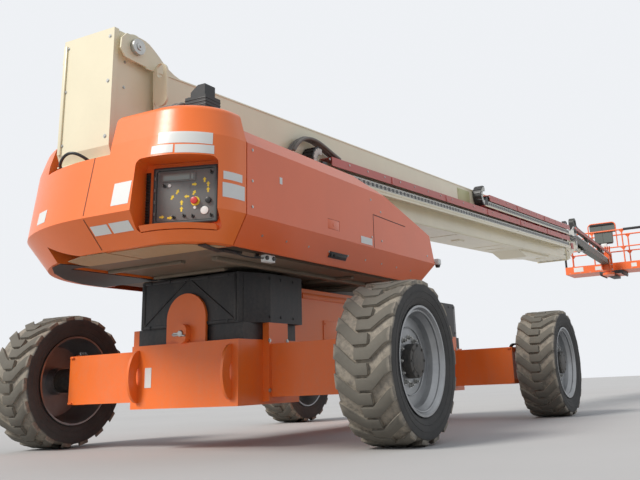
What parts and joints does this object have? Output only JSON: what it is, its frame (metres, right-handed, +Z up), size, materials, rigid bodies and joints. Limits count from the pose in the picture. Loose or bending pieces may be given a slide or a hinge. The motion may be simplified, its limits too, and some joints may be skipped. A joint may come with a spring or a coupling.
{
  "type": "telescopic boom lift",
  "caption": "Self-propelled telescopic boom lift with a jib and work platform, four extending steered axles and a swinging turntable.",
  "frame": {"origin": "on the ground below the centre of the turntable bearing, midway between the axles", "axes": "+X forward along the stowed boom, +Y to the machine's left, +Z up"},
  "size_m": [19.1597, 3.905, 4.4233],
  "materials": {
    "orange_paint": "semi-gloss",
    "red_paint": "semi-gloss",
    "black_cover": "satin",
    "bearing_steel": "satin",
    "underside_paint": "satin",
    "cream_paint": "semi-gloss",
    "knuckle_iron": "matte",
    "rim_grey": "satin",
    "tyre": "matte",
    "engine_metal": "matte",
    "panel_grey": "satin",
    "cylinder_paint": "satin",
    "rod_chrome": "polished",
    "jib_paint": "satin",
    "platform_paint": "semi-gloss"
  },
  "bodies": {
    "chassis": {"chassis_frame": "orange_paint", "hose_shrouds": "black_cover", "slew_ring": "bearing_steel"},
    "axle_rear_left": {"axle_beam_rear_left": "orange_paint"},
    "steer_rear_left": {"knuckle_rear_left": "knuckle_iron"},
    "wheel_rear_left": {"rim_rear_left": "rim_grey", "tyre_rear_left": "tyre"},
    "axle_rear_right": {"axle_beam_rear_right": "orange_paint"},
    "steer_rear_right": {"knuckle_rear_right": "knuckle_iron"},
    "wheel_rear_right": {"rim_rear_right": "rim_grey", "tyre_rear_right": "tyre"},
    "axle_front_left": {"axle_beam_front_left": "orange_paint"},
    "steer_front_left": {"knuckle_front_left": "knuckle_iron"},
    "wheel_front_left": {"rim_front_left": "rim_grey", "tyre_front_left": "tyre"},
    "axle_front_right": {"axle_beam_front_right": "orange_paint"},
    "steer_front_right": {"knuckle_front_right": "knuckle_iron"},
    "wheel_front_right": {"rim_front_right": "rim_grey", "tyre_front_right": "tyre"},
    "turntable": {"turntable_deck": "underside_paint", "boom_upright": "cream_paint", "tail_counterweight": "orange_paint", "control_cowl": "orange_paint", "ground_controls": "panel_grey", "engine_block": "engine_metal", "beacon": "black_cover"},
    "right_hood": {"right_hood": "red_paint"},
    "left_hood": {"left_hood": "red_paint"},
    "boom": {"base_boom": "cream_paint", "cable_trays": "red_paint", "cable_carriers": "black_cover"},
    "outer_mid": {"outer_mid_boom": "cream_paint"},
    "inner_mid": {"inner_mid_boom": "cream_paint"},
    "fly": {"fly_boom": "cream_paint"},
    "lift_barrel": {"lift_cylinder_barrel": "cylinder_paint"},
    "lift_rod": {"lift_cylinder_rod": "rod_chrome"},
    "jib_head": {"jib_upright": "jib_paint"},
    "jib": {"jib_arm": "jib_paint"},
    "links": {"level_links": "jib_paint"},
    "jib_barrel": {"jib_cylinder_barrel": "cylinder_paint"},
    "jib_rod": {"jib_cylinder_rod": "rod_chrome"},
    "support": {"platform_support": "platform_paint"},
    "platform": {"platform_basket": "platform_paint", "platform_console": "black_cover"},
    "gate": {"platform_gate": "platform_paint"}
  },
  "joints": [
    {"name": "extend_rear_left", "type": "slide", "parent": "chassis", "child": "axle_rear_left", "axis": [0, 1, 0], "range_m": [-0.7, 0]},
    {"name": "steer_rear_left", "type": "hinge", "parent": "axle_rear_left", "child": "steer_rear_left", "pos_m": [-1.93, 1.48, 0.58], "axis": [0, 0, 1], "range_deg": [-25, 25]},
    {"name": "roll_rear_left", "type": "hinge", "parent": "steer_rear_left", "child": "wheel_rear_left", "pos_m": [-1.93, 1.73, 0.58], "axis": [0, 1, 0], "continuous": true},
    {"name": "extend_rear_right", "type": "slide", "parent": "chassis", "child": "axle_rear_right", "axis": [0, -1, 0], "range_m": [-0.7, 0]},
    {"name": "steer_rear_right", "type": "hinge", "parent": "axle_rear_right", "child": "steer_rear_right", "pos_m": [-1.93, -1.48, 0.58], "axis": [0, 0, 1], "range_deg": [-25, 25]},
    {"name": "roll_rear_right", "type": "hinge", "parent": "steer_rear_right", "child": "wheel_rear_right", "pos_m": [-1.93, -1.73, 0.58], "axis": [0, 1, 0], "continuous": true},
    {"name": "extend_front_left", "type": "slide", "parent": "chassis", "child": "axle_front_left", "axis": [0, 1, 0], "range_m": [-0.7, 0]},
    {"name": "steer_front_left", "type": "hinge", "parent": "axle_front_left", "child": "steer_front_left", "pos_m": [1.93, 1.48, 0.58], "axis": [0, 0, 1], "range_deg": [-25, 25]},
    {"name": "roll_front_left", "type": "hinge", "parent": "steer_front_left", "child": "wheel_front_left", "pos_m": [1.93, 1.73, 0.58], "axis": [0, 1, 0], "continuous": true},
    {"name": "extend_front_right", "type": "slide", "parent": "chassis", "child": "axle_front_right", "axis": [0, -1, 0], "range_m": [-0.7, 0]},
    {"name": "steer_front_right", "type": "hinge", "parent": "axle_front_right", "child": "steer_front_right", "pos_m": [1.93, -1.48, 0.58], "axis": [0, 0, 1], "range_deg": [-25, 25]},
    {"name": "roll_front_right", "type": "hinge", "parent": "steer_front_right", "child": "wheel_front_right", "pos_m": [1.93, -1.73, 0.58], "axis": [0, 1, 0], "continuous": true},
    {"name": "swing", "type": "hinge", "parent": "chassis", "child": "turntable", "pos_m": [0, 0, 1.27], "axis": [0, 0, 1], "continuous": true},
    {"name": "right_hood", "type": "hinge", "parent": "turntable", "child": "right_hood", "pos_m": [-2.2, -0.604, 2.156], "axis": [1, 0, 0], "range_deg": [-60, 0]},
    {"name": "left_hood", "type": "hinge", "parent": "turntable", "child": "left_hood", "pos_m": [-1.6, 0.604, 2.156], "axis": [1, 0, 0], "range_deg": [0, 60]},
    {"name": "boom_lift", "type": "hinge", "parent": "turntable", "child": "boom", "pos_m": [-3.2, 0, 2.92], "axis": [0, -1, 0], "range_deg": [-3, 69]},
    {"name": "lift_barrel", "type": "hinge", "parent": "turntable", "child": "lift_barrel", "pos_m": [-2.2, 0, 1.56], "axis": [0, -1, 0], "range_deg": [-3.41, 67.45]},
    {"name": "lift_rod", "type": "slide", "parent": "lift_barrel", "child": "lift_rod", "axis": [0.9868, 0, 0.1622], "range_m": [-0.0924, 1.9063]},
    {"name": "telescope", "type": "slide", "parent": "boom", "child": "outer_mid", "axis": [0.9986, 0, 0.0532], "range_m": [0, 8.6]},
    {"name": "telescope_inner_mid", "type": "slide", "parent": "outer_mid", "child": "inner_mid", "axis": [0.9986, 0, 0.0532], "range_m": [0, 8.6]},
    {"name": "telescope_fly", "type": "slide", "parent": "inner_mid", "child": "fly", "axis": [0.9986, 0, 0.0532], "range_m": [0, 8.6]},
    {"name": "head_level", "type": "hinge", "parent": "fly", "child": "jib_head", "pos_m": [10.22227, 0, 3.23461], "axis": [0, -1, 0], "range_deg": [-69.5, 3.5]},
    {"name": "jib_lift", "type": "hinge", "parent": "jib_head", "child": "jib", "pos_m": [10.62, 0, 3.43], "axis": [0, 1, 0], "range_deg": [-77.5, 52.5]},
    {"name": "level_links", "type": "hinge", "parent": "jib_head", "child": "links", "pos_m": [10.62, 0, 3.62], "axis": [0, 1, 0], "range_deg": [-78, 53]},
    {"name": "jib_barrel", "type": "hinge", "parent": "jib_head", "child": "jib_barrel", "pos_m": [10.66, 0, 3.182], "axis": [0, 1, 0], "range_deg": [-72.58, 49.33]},
    {"name": "jib_rod", "type": "slide", "parent": "jib_barrel", "child": "jib_rod", "axis": [0.9963, 0, 0.0854], "range_m": [-0.1939, 0.2815]},
    {"name": "platform_level", "type": "hinge", "parent": "jib", "child": "support", "pos_m": [14.06672, 0, 3.27951], "axis": [0, 1, 0], "range_deg": [-53, 78]},
    {"name": "platform_rotate", "type": "hinge", "parent": "support", "child": "platform", "pos_m": [14.31972, 0, 3.01], "axis": [0, 0, 1], "range_deg": [-90, 90]},
    {"name": "gate", "type": "hinge", "parent": "platform", "child": "gate", "pos_m": [15.46972, 1.194, 3.1], "axis": [0, 0, 1], "range_deg": [0, 88]}
  ],
  "couplings": [
    {"joint": "lift_barrel", "follows": "boom_lift", "ratio": 0.97029},
    {"joint": "lift_rod", "follows": "boom_lift", "m_per_rad": 1.5746},
    {"joint": "telescope_inner_mid", "follows": "telescope", "ratio": 1},
    {"joint": "telescope_fly", "follows": "telescope", "ratio": 1},
    {"joint": "head_level", "follows": "boom_lift", "ratio": -1},
    {"joint": "level_links", "follows": "jib_lift", "ratio": 1},
    {"joint": "jib_barrel", "follows": "jib_lift", "ratio": 0.93},
    {"joint": "jib_rod", "follows": "jib_lift", "m_per_rad": -0.2007},
    {"joint": "platform_level", "follows": "jib_lift", "ratio": -1}
  ]
}
